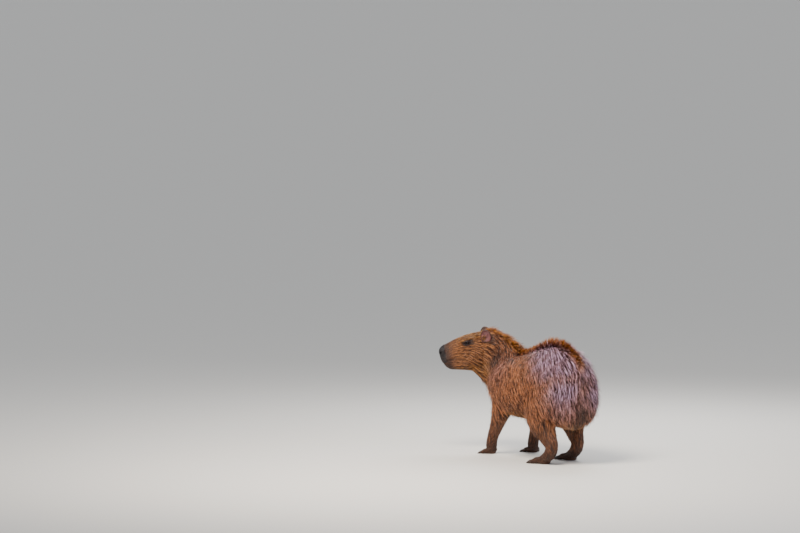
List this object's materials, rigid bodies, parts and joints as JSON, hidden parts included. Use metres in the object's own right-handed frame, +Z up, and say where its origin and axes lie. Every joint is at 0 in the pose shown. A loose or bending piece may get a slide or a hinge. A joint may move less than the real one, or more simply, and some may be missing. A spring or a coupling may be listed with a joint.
{
  "type": "capybara",
  "caption": "Life-size capybara standing still on four feet, its head turned to its left, in a coarse coat with a raised crest.",
  "frame": {"origin": "on the floor, under the middle of the whole animal's bounding box", "axes": "+X the way the trunk faces, +Y the animal's left, +Z up"},
  "size_m": [0.8834, 0.4714, 0.5877],
  "materials": {
    "coat": "coarse reddish-brown hair, wet in streaks",
    "bare_skin": "dark bare or thinly haired skin",
    "eye": "wet, dark and glossy"
  },
  "bodies": {
    "root": {"head": "coat", "neck": "coat", "torso": "coat", "rump": "coat", "foreleg_left": "coat", "foreleg_right": "coat", "hindleg_left": "coat", "hindleg_right": "coat", "forefoot_left": "bare_skin", "forefoot_right": "bare_skin", "hindfoot_left": "bare_skin", "hindfoot_right": "bare_skin", "ear_left": "bare_skin", "ear_right": "bare_skin", "eye_left": "eye", "eye_right": "eye"}
  },
  "joints": []
}
